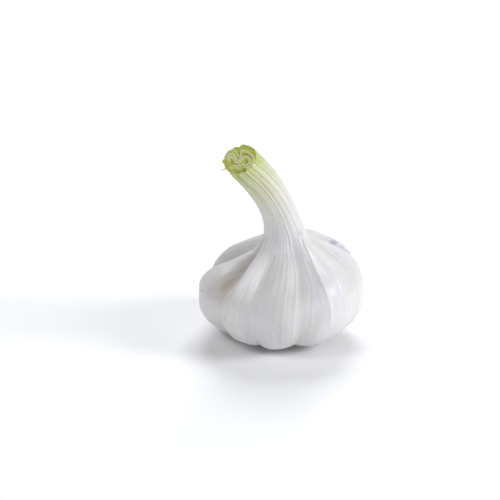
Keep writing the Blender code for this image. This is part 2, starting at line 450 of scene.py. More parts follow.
# %% Leaf edges
LEAF_EDGES = (  # angle, lean in degrees, height in mm, softness in mm
    (228.0, -2.0, 0.12, 0.4),
    (140.0, 2.0, 0.22, 0.25),
    (58.0, -2.0, 0.20, 0.25),
    (8.0, 2.0, 0.12, 0.3),
)
for start, lean, tall, soft in LEAF_EDGES:
    line = start + lean * np.sin(along / (16 * MM))
    gap = np.radians((column_angle[None, :] - line + 180.0) % 360.0 - 180.0) * radius
    edge = fade(gap, -soft * MM, soft * MM) * np.exp(-np.maximum(gap, 0.0) / (5 * MM))
    edge_shown = fade(height, 0.25 * BELLY_HEIGHT, BELLY_HEIGHT)
    push += tall * MM * edge * edge_shown * (1.0 - in_hollow)
print(VEINS, "veins and", len(LEAF_EDGES), "leaf edges")

# %% [markdown]
# ## Unevenness
#
# Nothing that grew is perfectly even. Three noises take the machine-made look off: one as broad as
# a thumb for the lie of the cloves, one stretched along the fibres for puckered skin, and a fine
# one. A few dents stand where the dry skin caved in.

# %% Three noises and some dents
DENTS = (  # angle, height in mm, depth in mm
    (308.0, 20.5, 0.35),
    (262.0, 12.0, 0.18),
    (332.0, 12.0, 0.25),
    (215.0, 19.0, 0.22),
    (120.0, 20.0, 0.30),
    (40.0, 14.0, 0.30),
)


def grown_noise(stretch, size, seed):
    """Smooth noise over the surface. Its blots are size wide and stretch times as long as that."""
    x = np.cos(np.radians(theta)) * radius / size
    y = np.sin(np.radians(theta)) * radius / size
    z = along / (size * stretch)
    flat_grid = np.stack([x.ravel() + seed, y.ravel() - seed, z.ravel()], axis=1)
    return np.array([noise.noise(point) for point in flat_grid]).reshape(x.shape)


below = 1.0 - on_neck
push += grown_noise(1.2, 11 * MM, 3.1) * 0.8 * MM * below * on_body
push += grown_noise(3.5, 2.6 * MM, 8.7) * 0.05 * MM * (1.0 - 0.6 * low)
push += grown_noise(5.0, 1.1 * MM, 5.3) * 0.02 * MM * below
for where, level, deep in DENTS:
    push -= deep * MM * patch(where, level * MM, 0.9 * MM, 2.2 * MM)

# %% [markdown]
# ## Pushing outwards and lifting
#
# Now every point moves along the turned form's own direction outwards. Then the shoulders tilt up to
# the back right, sink at the back left, and each clove lifts its shoulder and its foot a little.

# %% Push and lift
SHOULDER_TILT = 1.6 * MM
HIGH_SIDE = 50.0
LOW_SIDE, LOW_SIDE_WIDTH, LOW_SIDE_DROP = 168.0, 38.0, 2.8 * MM

slope_r = np.gradient(ring_radius)
slope_z = np.gradient(ring_height)
length = np.hypot(slope_r, slope_z)
out_r = (-slope_z / length)[:, None]
out_z = (slope_r / length)[:, None]
two_sided = 0.030 * np.cos(2 * np.radians(theta - 20.0))
three_sided = 0.020 * np.cos(3 * np.radians(theta) + along / (12 * MM))
new_radius = radius * (1.0 + on_neck * (two_sided + three_sided)) + push * (1.0 - in_hollow) * out_r
new_height = height + push * (1.0 - in_hollow) * out_z

reach = fade(radius, 1.05 * NECK_RADIUS, 2.0 * NECK_RADIUS)
tilt = SHOULDER_TILT * np.cos(np.radians(theta - HIGH_SIDE))
new_height += (tilt + SHOULDER_LIFT[clove] * (1 - valley)) * high * reach
low_side = np.exp(-(((theta - LOW_SIDE) / LOW_SIDE_WIDTH) ** 2))
new_height -= LOW_SIDE_DROP * low_side * high * reach
new_height += FOOT_LIFT[clove] * (1 - valley) * low * fade(radius, HOLLOW_RADIUS, SOLE_RADIUS)

around = np.radians(theta)
grid = np.stack([new_radius * np.cos(around), new_radius * np.sin(around), new_height], axis=-1)

# %% [markdown]
# ## Bending the neck
#
# The straight form is laid along a curve, ring by ring. Each ring is turned by the smallest turn
# that takes "up" to the direction of the curve, so the fibres don't twist on the way.

# %% Bend
LOWEST_SKIN = 0.25 * MM


def bend(points):
    """Lays what is above the neck's foot along the neck line, and leans the shoulders to meet it."""
    x, y, z = points[..., 0], points[..., 1], points[..., 2]
    lean = fade(z, BELLY_HEIGHT, NECK_FOOT[2])
    straight = points + lean[..., None] * np.array((NECK_FOOT[0], NECK_FOOT[1], 0.0))
    rise_now = np.clip(z - NECK_FOOT[2], 0.0, line_run[-1])
    centre = [np.interp(rise_now, line_run, neck_line[:, k]) for k in range(3)]
    direction = np.gradient(neck_line, line_run, axis=0)
    direction /= np.linalg.norm(direction, axis=1, keepdims=True)
    t = np.stack([np.interp(rise_now, line_run, direction[:, k]) for k in range(3)], axis=-1)
    t /= np.linalg.norm(t, axis=-1, keepdims=True)
    # The smallest turn from +Z to t, applied to (x, y, 0).
    k = 1.0 / (1.0 + t[..., 2])
    bent_x = x * (1 - k * t[..., 0] ** 2) - y * k * t[..., 0] * t[..., 1]
    bent_y = -x * k * t[..., 0] * t[..., 1] + y * (1 - k * t[..., 1] ** 2)
    bent_z = -x * t[..., 0] - y * t[..., 1]
    bent = np.stack(centre, axis=-1) + np.stack([bent_x, bent_y, bent_z], axis=-1)
    bent += (z - NECK_FOOT[2] - rise_now)[..., None] * t
    share = fade(np.hypot(x, y), 2.2 * NECK_RADIUS, 1.2 * NECK_RADIUS) * (z > NECK_FOOT[2])
    return straight + (bent - straight) * share[..., None]


skin_points = bend(grid)
skin_points[..., 2] = np.maximum(skin_points[..., 2], LOWEST_SKIN)
print("the skin reaches up to", round(skin_points[..., 2].max() / MM, 1), "mm")

# %% [markdown]
# ## The rim of the cut
#
# The knife didn't leave a circle. The rim has a notch at the top, corners where a leaf was stiff and
# a ragged edge, and it looks squashed by a tenth because the cut is a little oblique. Each bump is an
# angle round the cut, counted from the right, a width and a share of the radius. It dies out a few
# millimetres down the neck.

# %% Rim of the cut
RIM_ROWS = 16
RIM_REACH = 2.4 * MM
SQUASH = 0.11
RIM_BUMPS = (
    (93, 9, -0.13), (187, 7, 0.10), (150, 16, 0.05), (120, 10, -0.04), (70, 18, 0.03),
    (20, 14, 0.03), (230, 16, -0.05), (265, 10, -0.03), (300, 20, 0.03), (335, 16, 0.04),
)
to_right, to_top = np.array(VIEW_RIGHT), np.array(VIEW_UP)

from_centre = skin_points[0] - CUT_CENTRE
rim_angle = np.degrees(np.arctan2(from_centre @ to_top, from_centre @ to_right)) % 360.0
bumps = np.zeros(COLUMNS)
for where, wide_by, tall in RIM_BUMPS:
    bumps += tall * np.exp(-((((rim_angle - where + 180.0) % 360.0 - 180.0) / wide_by) ** 2))
for k, a in enumerate(np.radians(rim_angle)):
    bumps[k] += 0.025 * noise.noise((math.cos(a) * 4, math.sin(a) * 4, 0.0))

near_rim = np.exp(-((run[:RIM_ROWS, None] / RIM_REACH) ** 2))
rise_of_ring = np.clip(ring_height[:RIM_ROWS] - NECK_FOOT[2], 0, None)
middle = [np.interp(rise_of_ring, line_run, neck_line[:, k]) for k in range(3)]
middle = np.stack(middle, axis=-1)[:, None, :]
skin_points[:RIM_ROWS] += (skin_points[:RIM_ROWS] - middle) * (bumps * near_rim)[..., None]
up_part = (skin_points[:RIM_ROWS] - middle) @ to_top
skin_points[:RIM_ROWS] -= SQUASH * (up_part * near_rim)[..., None] * to_top
rim = skin_points[0]
rim_width = 2 * np.linalg.norm(rim - CUT_CENTRE, axis=1).max()
print("cut face", round(rim_width / MM, 1), "mm at its widest")

# %% [markdown]
# ## The folds of the leaves
#
# The neck is a bundle of leaves, one wrapped in the next. A knife across it shows their edges: a
# thick green outer sheath, and inside it thinner leaves folded in on themselves. The folds are pale
# where a leaf was cut through, and the gaps between two leaves are painted darker olive, as shade.
#
# They are drawn as a few smooth lines on the face, and what is near a line is raised and pale.
# Being drawn as lines, they can be made as thick as real leaf bases: about half a millimetre. Each
# line is a weight and points, where 1 is the radius of the face.

# %% Lines of the folds and of the gaps
LEAF_FOLDS = (
    (1.0, (
        (-0.60, -0.10), (-0.62, 0.04), (-0.52, 0.14), (-0.40, 0.11), (-0.28, -0.12),
        (-0.16, -0.22), (-0.04, -0.21), (0.10, -0.08), (0.20, 0.10), (0.34, 0.17),
        (0.50, 0.12), (0.60, -0.08), (0.57, -0.25), (0.38, -0.36),
    )),
    (0.9, (
        (-0.70, 0.14), (-0.54, 0.32), (-0.38, 0.34), (-0.27, 0.18), (-0.16, 0.00),
        (-0.05, -0.06), (0.03, 0.02), (0.06, 0.26), (0.12, 0.50), (0.24, 0.54),
        (0.52, 0.38), (0.72, 0.16), (0.80, -0.02), (0.76, -0.22), (0.60, -0.46), (0.42, -0.56),
    )),
    (0.6, ((-0.48, 0.60), (-0.28, 0.54), (-0.15, 0.42), (-0.09, 0.24), (-0.06, 0.12))),
    (0.8, (
        (-0.56, -0.54), (-0.42, -0.44), (-0.28, -0.38), (-0.16, -0.42), (-0.04, -0.35),
        (0.10, -0.35), (0.22, -0.27), (0.32, -0.42), (0.44, -0.34),
    )),
    (0.6, ((-0.44, -0.58), (-0.22, -0.52), (-0.04, -0.56), (0.14, -0.52))),
    (0.5, ((-0.82, 0.02), (-0.76, 0.34), (-0.58, 0.58), (-0.36, 0.72))),
)
LEAF_GAPS = (
    (1.0, ((-0.12, 0.16), (-0.06, 0.05), (0.00, 0.12))),
    (0.9, ((-0.44, -0.06), (-0.34, -0.24), (-0.14, -0.32))),
    (1.0, ((0.34, 0.32), (0.52, 0.24), (0.67, 0.04))),
    (0.8, ((0.36, -0.06), (0.42, -0.16), (0.36, -0.25))),
    (0.8, ((0.20, -0.55), (0.32, -0.60), (0.46, -0.56))),
    (0.6, ((0.16, 0.34), (0.28, 0.30))),
    (0.6, ((-0.04, 0.44), (0.00, 0.30), (-0.02, 0.18))),
    (0.5, ((-0.86, 0.30), (-0.70, 0.54))),
    (0.5, ((-0.30, -0.68), (0.00, -0.74), (0.24, -0.70))),
)

# %% How near a place is to a line


def smooth_line(points, per_part=6):
    """More points along the curve through these ones."""
    p = np.array([points[0], *points, points[-1]], float)
    parts = []
    for a, b, c, d in zip(p, p[1:], p[2:], p[3:]):
        t = np.linspace(0.0, 1.0, per_part, endpoint=False)[:, None]
        bow = (2 * a - 5 * b + 4 * c - d) * t**2 + (3 * b - a - 3 * c + d) * t**3
        parts.append(0.5 * (2 * b + (c - a) * t + bow))
    return np.vstack(parts + [p[-1:]])


def nearness(places, lines, thickness):
    """1 on the lines, falling to 0 about a thickness away, times the weight of each line."""
    best = np.zeros(len(places))
    for weight, points in lines:
        line = smooth_line(points)
        starts, steps = line[:-1], np.diff(line, axis=0)
        offset = places[:, None, :] - starts[None, :, :]
        share = np.clip((offset * steps).sum(-1) / (steps**2).sum(-1), 0.0, 1.0)
        gap = np.linalg.norm(offset - share[..., None] * steps, axis=-1).min(axis=1)
        best = np.maximum(best, weight * np.exp(-((gap / thickness) ** 2)))
    return best


# %% The face, in rings from the rim to the middle
FACE_RADIUS = 6.2 * MM
FACE_SQUASH = 0.93
FACE_SHARES = np.concatenate([[0.995, 0.975], np.linspace(0.95, 0.04, 27)])
FOLD_THICK, GAP_THICK = 0.056, 0.050
FOLD_TALL, GAP_DEEP, LUMP_TALL, SUNK = 0.16, 0.34, 0.10, 0.22  # mm

flat_face = (CUT_CENTRE + FACE_SHARES[:, None, None] * (rim - CUT_CENTRE)).reshape(-1, 3)
on_face = flat_face - CUT_CENTRE
drawn = np.stack([on_face @ to_right, on_face @ to_top], axis=1)
drawn /= (FACE_RADIUS, FACE_SQUASH * FACE_RADIUS)
rim_share = np.repeat(FACE_SHARES, COLUMNS)

lumps = np.array([noise.noise((x * 11, y * 11, 0.0)) for x, y in drawn])
pale = nearness(drawn, LEAF_FOLDS, FOLD_THICK)
# Below the folds the leaves were crushed, and pale lumps of them stand out.
pale = np.maximum(pale, 0.6 * fade(lumps, 0.15, 0.50) * fade(drawn[:, 1], 0.1, -0.5))
gaps = nearness(drawn, LEAF_GAPS, GAP_THICK)
relief = (FOLD_TALL * pale - GAP_DEEP * gaps * (1 - pale) + LUMP_TALL * lumps) * MM
relief -= SUNK * MM * fade(rim_share, 0.80, 0.60)
relief *= fade(rim_share, 1.0, 0.93)
face_points = (flat_face + relief[:, None] * CUT_DIRECTION).reshape(-1, COLUMNS, 3)
print(len(FACE_SHARES), "rings on the face,", len(LEAF_FOLDS), "folds")

# %% [markdown]
# ## One mesh
#
# The rings of the face, the neck and the body follow one another, so they can be stitched in one
# go. A last point closes the middle of the face, and another closes the roof of the hollow.

# %% Stitch the bulb


def ring_mesh(name, rings, first, last):
    """A closed mesh from rings of points, one after the other, and a point to close each end."""
    count, columns = rings.shape[:2]
    points = np.vstack([rings.reshape(-1, 3), first, last])
    row, col = np.meshgrid(np.arange(count - 1), np.arange(columns), indexing="ij")
    this, after = row * columns, (col + 1) % columns
    corners = [this + col, this + columns + col, this + columns + after, this + after]
    quads = np.stack(corners, axis=-1).reshape(-1, 4)
    last_ring = (count - 1) * columns
    top, bottom = [], []
    for a in range(columns):
        b = (a + 1) % columns
        top.append((len(points) - 2, a, b))
        bottom.append((len(points) - 1, last_ring + b, last_ring + a))
    made = bpy.data.meshes.new(name)
    made.from_pydata(points.tolist(), [], quads.tolist() + top + bottom)
    made.validate()
    made.shade_smooth()
    return made


rings = np.concatenate([face_points[::-1], skin_points])
roof = np.array([[0.0, 0.0, HOLLOW_ROOF]])
bulb_mesh = ring_mesh("garlic_bulb", rings, CUT_CENTRE[None, :], roof)
bulb = bpy.data.objects.new("garlic_bulb", bulb_mesh)
bpy.context.scene.collection.objects.link(bulb)
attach(bulb, "root")
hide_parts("bulb")
print("bulb", len(bulb_mesh.vertices), "points,", 2 * len(bulb_mesh.polygons), "triangles at most")

# %% [markdown]
# ## What the materials need to know
#
# Each point also keeps a few numbers: how green it is, how much of a vein, how much painted valley
# shade and painted sheen it gets, how polished, and where it lies along and across the fibres. A
# material can read them with an Attribute node, so its colours follow the shape exactly. Painted maps
# wrapped round the bulb could do the same, but they would stretch on the neck and need a seam.

# %% Green stripes, and polished spots with painted sheen
# How far the green reaches down the neck differs from stripe to stripe.
stripe_noise = [
    noise.noise((math.cos(a) * 7, math.sin(a) * 7, 2.0)) for a in np.radians(column_angle)
]
stripe_side = np.cos(np.radians(column_angle - 215.0))
stripe_reach = (12.0 + 5.0 * np.array(stripe_noise) + 3.0 * stripe_side) * MM
green = np.exp(-np.maximum(along - 0.3 * stripe_reach, 0.0) / stripe_reach[None, :])
green_rim = 1.6 * fade(along, 3 * MM, 0.2 * MM)
green = np.maximum(green * fade(along, 30 * MM, 12 * MM), green_rim)

# Spots where the skin is drawn tight: it is smoother there, and painted whiter as a sheen.
polish_and_sheen = patch(238.0, 28 * MM, 4.2 * MM, 4.5 * MM)
polish_and_sheen += 0.8 * patch(308.0, 31 * MM, 1.4 * MM, 3.0 * MM)
polish_and_sheen += 0.4 * patch(270.0, 31 * MM, 6.0 * MM, 5.0 * MM)

# %% Store them on the mesh
FULL_SHADE_DEPTH = 2.5 * MM
zero_face, zero_skin = np.zeros(len(flat_face)), np.zeros_like(green)
# Painted shade for the valleys, growing with their depth.
painted_valley_shade = np.clip(valley * depth / FULL_SHADE_DEPTH, 0.0, 1.0) * on_body
STORED = (  # name, on the face, on the skin
    ("green", zero_face + 1, green),
    ("pale_leaf", pale, zero_skin),
    ("painted_gap_shade", gaps * (1 - pale), zero_skin),
    ("rim_share", rim_share, zero_skin + 1),
    ("vein", zero_face, np.minimum(vein, 2.0) / 2.0),
    ("valley", zero_face, painted_valley_shade),
    ("neck", zero_face + 1, fade(along, 40 * MM, 12 * MM)),
    ("polish_and_sheen", zero_face, np.minimum(polish_and_sheen, 1.0)),
    ("along", zero_face, along / MM),
    ("around_x", drawn[:, 0] * 6.0, np.cos(turned) * 10.0 + zero_skin),
    ("around_y", drawn[:, 1] * 6.0, np.sin(turned) * 10.0 + zero_skin),
)
for name, face_values, skin_values in STORED:
    # The face's rings were turned round in the mesh, and the two closing points come last.
    face_values = face_values.reshape(-1, COLUMNS)[::-1].ravel()
    values = np.concatenate([face_values, skin_values.ravel(), [face_values[0], 0.0]])
    stored = bulb_mesh.attributes.new(name, "FLOAT", "POINT")
    stored.data.foreach_set("value", values.astype(np.float32))
print(len(STORED), "numbers for each point")

# %% [markdown]
# ## The skin
#
# Garlic skin is a dry leaf base: layers of paper-thin cells, white because they are full of air,
# with stiff fibres in lines. It is slightly see-through, so light wanders in it and softens every
# shadow, and its polished outside gives broad silky highlights. Towards the cut the leaf was still
# alive, and green shows in stripes between its white fibres.

# %% Where the skin's patterns lie
FIBRE_LENGTH = 0.03
DRIFT = 0.012

skin, tree, shader = new_material("dry_garlic_skin")
place = {}
for name in ("green", "vein", "valley", "neck", "polish_and_sheen", "along", "around_x", "around_y"):
    place[name] = add_node(tree, "Attribute", {"attribute_name": name}, out="Fac")
body_place = add_node(tree, "TexCoord", out="Object")
stretched = add_node(tree, "Math", TIMES, {1: FIBRE_LENGTH}, {0: place["along"]})
drifting = add_node(tree, "Math", TIMES, {1: DRIFT}, {0: place["along"]})
across_fibres = {"X": place["around_x"], "Y": place["around_y"]}
fibre_place = add_node(tree, "CombineXYZ", links={**across_fibres, "Z": stretched})
drift_place = add_node(tree, "CombineXYZ", links={**across_fibres, "Z": drifting})

# %% White, with clouds and a fine mottle
# A scale of 70 to the metre gives clouds of a centimetre or so, where the skin is thicker.
cloud = add_node(tree, "TexNoise", values={"Scale": 70.0, "Detail": 3.0}, links={"Vector": body_place})
cloudy = add_node(tree, "MapRange", values=MIDDLE_SPREAD, links={0: cloud})
whites = {6: hex_colour("#DDDDE2"), 7: hex_colour("#DDDAD9")}
white = add_node(tree, "Mix", OF_COLOURS, whites, {0: cloudy}, MIXED)

# Cells full of air lie beside empty ones: a mottle of about a millimetre.
cell_noise = {"Scale": 1100.0, "Detail": 2.0, "Roughness": 0.6}
cells = add_node(tree, "TexNoise", values=cell_noise, links={"Vector": body_place})
mottle = add_node(tree, "MapRange", values={1: 0.36, 2: 0.64, 3: 0.0, 4: 0.55}, links={0: cells})
empty_cell = {7: hex_colour("#D3D2D3")}
white = add_node(tree, "Mix", OF_COLOURS, empty_cell, {0: mottle, 6: white}, MIXED)

# %% Fibres
# The place counts 10 units from the axis to the skin, so a scale of 3.2 gives about 200 lines
# round. Real fibres are twice as fine, and would not show.
fine_lines = {"Scale": 3.2, "Detail": 1.5, "Roughness": 0.5}
fibres = add_node(tree, "TexNoise", values=fine_lines, links={"Vector": fibre_place})
coarse_lines = {"Scale": 1.1, "Detail": 2.0}
coarse_fibres = add_node(tree, "TexNoise", values=coarse_lines, links={"Vector": fibre_place})
# The lines crowd together on the neck, where they would be too fine to see, so they fade there.
off_neck_range = {1: 0.0, 2: 0.5, 3: 1.0, 4: 0.15}
off_neck = add_node(tree, "MapRange", values=off_neck_range, links={0: place["neck"]})
seen_fibres = add_node(tree, "Math", TIMES, links={0: fibres, 1: off_neck})
fibre_range = {1: 0.42, 2: 0.70, 3: 0.0, 4: 0.08}
fibre_part = add_node(tree, "MapRange", values=fibre_range, links={0: seen_fibres})
fibre_grey = {7: hex_colour("#CFC9C6")}
lined = add_node(tree, "Mix", OF_COLOURS, fibre_grey, {0: fibre_part, 6: white}, MIXED)

# %% Veins and valleys
# The finest veins are where a slow noise passes its middle value: thin lines that never cross.
slow_noise = {"Scale": 1.3, "Detail": 1.0, "Roughness": 0.4}
slow = add_node(tree, "TexNoise", values=slow_noise, links={"Vector": drift_place})
off_middle = add_node(tree, "Math", {"operation": "SUBTRACT"}, {1: 0.5}, {0: slow})
off_middle = add_node(tree, "Math", {"operation": "ABSOLUTE"}, links={0: off_middle})
line_range = {1: 0.003, 2: 0.013, 3: 0.5, 4: 0.0}
thin_line = add_node(tree, "MapRange", values=line_range, links={0: off_middle})
thin_line = add_node(tree, "Math", TIMES, links={0: thin_line, 1: off_neck})
vein_range = {1: 0.20, 2: 0.75, 3: 0.0, 4: 0.5}
vein_part = add_node(tree, "MapRange", values=vein_range, links={0: place["vein"]})
vein_part = add_node(tree, "Math", {"operation": "MAXIMUM"}, links={0: vein_part, 1: thin_line})
cream = {7: hex_colour("#F0ECE6")}
veined = add_node(tree, "Mix", OF_COLOURS, cream, {0: vein_part, 6: lined}, MIXED)

# Painted shade: the valleys are painted browner and darker, the deeper the darker.
valley_shade_part = add_node(tree, "Math", TIMES, {1: 0.85}, {0: place["valley"]})
valley_shade_brown = {7: hex_colour("#B9AC9E")}
shaded = add_node(tree, "Mix", OF_COLOURS, valley_shade_brown, {0: valley_shade_part, 6: veined}, MIXED)

# %% Polished streaks and painted sheen
# Where the skin is drawn tight it is more polished, and it is painted whiter in streaks along the
# fibres: a painted sheen.
streak_range = {1: 0.40, 2: 0.60, 3: 0.20, 4: 1.0}
streak = add_node(tree, "MapRange", values=streak_range, links={0: coarse_fibres})
polish_and_sheen_part = add_node(tree, "Math", TIMES, links={0: streak, 1: place["polish_and_sheen"]})
painted_sheen_white = {7: hex_colour("#FBFBFC")}
shaded = add_node(tree, "Mix", OF_COLOURS, painted_sheen_white, {0: polish_and_sheen_part, 6: shaded}, MIXED)

# %% Cream and green of the neck
# The neck is creamier than the belly, and darker in the grooves between its ribs.
groove_range = {1: 0.02, 2: 0.30, 3: 1.0, 4: 0.0}
groove = add_node(tree, "MapRange", values=groove_range, links={0: place["vein"]})
rib_and_groove = {6: hex_colour("#E9E5D8"), 7: hex_colour("#CFCAB0")}
grooved = add_node(tree, "Mix", OF_COLOURS, rib_and_groove, {0: groove}, MIXED)
neck_part = add_node(tree, "Math", TIMES, {1: 0.75}, {0: place["neck"]})
creamed = add_node(tree, "Mix", OF_COLOURS, None, {0: neck_part, 6: shaded, 7: grooved}, MIXED)

# Its green keeps between the fibres, in stripes.
off_vein_range = {1: 0.12, 2: 0.50, 3: 1.0, 4: 0.35}
off_vein = add_node(tree, "MapRange", values=off_vein_range, links={0: place["vein"]})
stripe_range = {1: 0.42, 2: 0.64, 3: 1.0, 4: 0.50}
stripe = add_node(tree, "MapRange", values=stripe_range, links={0: coarse_fibres})
between = add_node(tree, "Math", TIMES, links={0: stripe, 1: off_vein})
green_part = add_node(tree, "Math", TIMES, links={0: place["green"], 1: between})
leaf_green = {7: hex_colour("#A3B034")}
greened = add_node(tree, "Mix", OF_COLOURS, leaf_green, {0: green_part, 6: creamed}, MIXED)

# %% Specks of soil in the skin
# A pattern of 150 cells to the metre has cells of 7 mm. One in twenty of them can hold a speck, up
# to 0.7 mm across, and shows it only where its middle lies close to the surface.
speck_cells = {"Scale": 150.0, "Randomness": 1.0}
to_speck = add_node(
    tree, "TexVoronoi", values=speck_cells, links={"Vector": body_place}, out="Distance"
)
speck_range = {1: 0.045, 2: 0.065, 3: 1.0, 4: 0.0}
speck_size = add_node(tree, "MapRange", values=speck_range, links={0: to_speck})
speck_pick = add_node(tree, "SeparateColor", links={0: to_speck.node.outputs["Color"]})
few = add_node(tree, "Math", {"operation": "GREATER_THAN"}, {1: 0.95}, {0: speck_pick})
speck = add_node(tree, "Math", TIMES, links={0: speck_size, 1: few})
soil_brown = {7: hex_colour("#6B5038")}
speckled = add_node(tree, "Mix", OF_COLOURS, soil_brown, {0: speck, 6: greened}, MIXED)
tree.links.new(speckled, shader.inputs["Base Color"])

# %% Gloss of the skin
# Dry plant tissue has an index near 1.45. It is satin, smoother where it is tight.
gloss_range = {1: 0.3, 2: 0.7, 3: 0.34, 4: 0.50}
rough = add_node(tree, "MapRange", values=gloss_range, links={0: cloud})
less_rough = add_node(tree, "Math", TIMES, {1: 0.16}, {0: polish_and_sheen_part})
rough = add_node(tree, "Math", {"operation": "SUBTRACT"}, links={0: rough, 1: less_rough})
tree.links.new(rough, shader.inputs["Roughness"])
for socket, value in (
    ("IOR", 1.45),
    ("Subsurface Weight", 0.25),
    ("Subsurface Radius", (1.0, 0.85, 0.7)),
    ("Subsurface Scale", 2.5 * MM),
    ("Coat Weight", 0.07),
    ("Coat Roughness", 0.30),
):
    shader.inputs[socket].default_value = value

# The finest relief is bump only: fibres and cells stand a few hundredths of a millimetre proud.
fibre_relief = {"Strength": 0.35, "Distance": 0.04 * MM}
fibre_bump = add_node(tree, "Bump", values=fibre_relief, links={"Height": seen_fibres})
cell_relief = {"Strength": 0.5, "Distance": 0.04 * MM}
cell_bump = add_node(
    tree, "Bump", values=cell_relief, links={"Height": cells, "Normal": fibre_bump}
)
tree.links.new(cell_bump, shader.inputs["Normal"])
bulb_mesh.materials.append(skin)
print(len(tree.nodes), "nodes in the skin")

# %% [markdown]
# ## The cut leaves
#
# The cut leaves are wet flesh, sliced by a knife: deeper green at the rim where the leaf was alive,
# pale across a cut leaf, painted darker olive in a gap as shade, and shiny with sap.

# %% Colours of the cut leaves
flesh, tree, shader = new_material("cut_green_leaf")
place = {}
for name in ("pale_leaf", "painted_gap_shade", "rim_share", "around_x", "around_y"):
    place[name] = add_node(tree, "Attribute", {"attribute_name": name}, out="Fac")
across_face = {"X": place["around_x"], "Y": place["around_y"]}
face_place = add_node(tree, "CombineXYZ", links=across_face)
# The face is 12 units across, so a scale of 2.2 gives grains of about half a millimetre.
grain_noise = {"Scale": 2.2, "Detail": 4.0, "Roughness": 0.65}
grain = add_node(tree, "TexNoise", values=grain_noise, links={"Vector": face_place})
grain_range = {1: 0.35, 2: 0.68, 3: 0.0, 4: 1.0}
grain_part = add_node(tree, "MapRange", values=grain_range, links={0: grain})
greens = {6: hex_colour("#B2BA3C"), 7: hex_colour("#D0D668")}
cut_colour = add_node(tree, "Mix", OF_COLOURS, greens, {0: grain_part}, MIXED)
rim_range = {1: 0.80, 2: 1.0, 3: 0.0, 4: 0.75}
rim_part = add_node(tree, "MapRange", values=rim_range, links={0: place["rim_share"]})
# The gap colour is painted shade between two leaves; the rim green and the pale cut leaf are the
# leaf's own colours.
for colour, part in (
    ("#A4B526", rim_part),
    ("#A2A42A", place["painted_gap_shade"]),
    ("#EAE6C6", place["pale_leaf"]),
):
    laid_over = {7: hex_colour(colour)}
    cut_colour = add_node(tree, "Mix", OF_COLOURS, laid_over, {0: part, 6: cut_colour}, MIXED)
tree.links.new(cut_colour, shader.inputs["Base Color"])

# %% Gloss of the cut leaves
# Flesh is mostly water, so its index is near 1.38, and light passes through its thin green edges.
for socket, value in (
    ("Roughness", 0.42),
    ("IOR", 1.38),
    ("Subsurface Weight", 0.2),
    ("Subsurface Radius", (0.8, 1.0, 0.4)),
    ("Subsurface Scale", 1.0 * MM),
):
    shader.inputs[socket].default_value = value
grain_relief = {"Strength": 0.6, "Distance": 0.12 * MM}
grain_bump = add_node(tree, "Bump", values=grain_relief, links={"Height": grain})
tree.links.new(grain_bump, shader.inputs["Normal"])
bulb_mesh.materials.append(flesh)

# The face's quads come first, and the fan round its middle comes after all the quads.
slots = np.zeros(len(bulb_mesh.polygons), np.int32)
slots[: (len(FACE_SHARES) - 1) * COLUMNS] = 1
first_fan = (len(rings) - 1) * COLUMNS
slots[first_fan : first_fan + COLUMNS] = 1
bulb_mesh.polygons.foreach_set("material_index", slots)
print(int(slots.sum()), "faces of cut leaf")

# %% [markdown]
# ## What came loose
#
# A bulb out of the ground is never quite clean. A scrap of the outermost skin has come away from
# the right shoulder and stands up, thinner than the rest, and painted paler and bluish for the light
# that shines through it. A shred hangs from the cut, and a few grains of soil stick to the skin. All
# of them are placed by an angle round the bulb and a height above the table.

# %% Where things sit on the skin
FIRST_ROW, LAST_ROW = 2, -20


def on_skin(angle, level):
    """The skin's nearest point to an angle and a height in mm, and its directions out and down."""
    miss = (np.radians(away_from(angle)) * radius) ** 2 + (skin_points[..., 2] - level * MM) ** 2
    miss = miss[FIRST_ROW:LAST_ROW]
    row, column = np.unravel_index(miss.argmin(), miss.shape)
    row += FIRST_ROW
    down = skin_points[row + 1, column] - skin_points[row - 1, column]
    sideways = skin_points[row, (column + 2) % COLUMNS] - skin_points[row, column - 2]
    out = np.cross(down, sideways)
    return skin_points[row, column], out / np.linalg.norm(out), down / np.linalg.norm(down)


def add_sheet(name, places, thickness, material):
    """A thin sheet through a grid of points, as a piece of the bulb."""
    row_count, step_count = places.shape[:2]
    faces = []
    for i in range(row_count - 1):
        for j in range(step_count - 1):
            a = i * step_count + j
            faces.append((a, a + 1, a + step_count + 1, a + step_count))
    mesh = bpy.data.meshes.new(name)
    mesh.from_pydata(places.reshape(-1, 3).tolist(), [], faces)
    mesh.shade_smooth()
    mesh.materials.append(material)
    sheet = bpy.data.objects.new(name, mesh)
    bpy.context.scene.collection.objects.link(sheet)
    solid = sheet.modifiers.new("thickness", "SOLIDIFY")
    solid.thickness = thickness
    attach(sheet, "root")
    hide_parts("bulb")
    print(name, len(mesh.vertices), "points")


# %% [markdown]
# The scrap is a sheet. Its base follows the skin from one angle to another, and each step away from
# the base goes further out and curls down. The skin under it is bumpy, so the line it grows from is
# first drawn smooth. It is the thinnest layer of skin: even, and as glossy as the glossiest of the
# rest. Its faint blue is painted light, the glow of light shining through it.

# %% Skin of the scrap
scrap_skin, tree, shader = new_material("loose_bluish_skin")
body_place = add_node(tree, "TexCoord", out="Object")
scrap_noise = {"Scale": 600.0, "Detail": 3.0}
blotches = add_node(tree, "TexNoise", values=scrap_noise, links={"Vector": body_place})
blotch_part = add_node(tree, "MapRange", values=MIDDLE_SPREAD, links={0: blotches})
# Painted light: the pale blue stands for light shining through the thin skin.
backlit_blues = {6: hex_colour("#E0E2F4"), 7: hex_colour("#ECEDF9")}
bluish = add_node(tree, "Mix", OF_COLOURS, backlit_blues, {0: blotch_part}, MIXED)
tree.links.new(bluish, shader.inputs["Base Color"])
shader.inputs["Roughness"].default_value = 0.35
shader.inputs["IOR"].default_value = 1.45

# %% The scrap of skin on the right shoulder
SCRAP_ROWS, SCRAP_STEPS = 25, 10
SCRAP_REACH = 3.6
SCRAP_THICKNESS = 0.12 * MM
HIDDEN_EDGE = 0.15 * MM

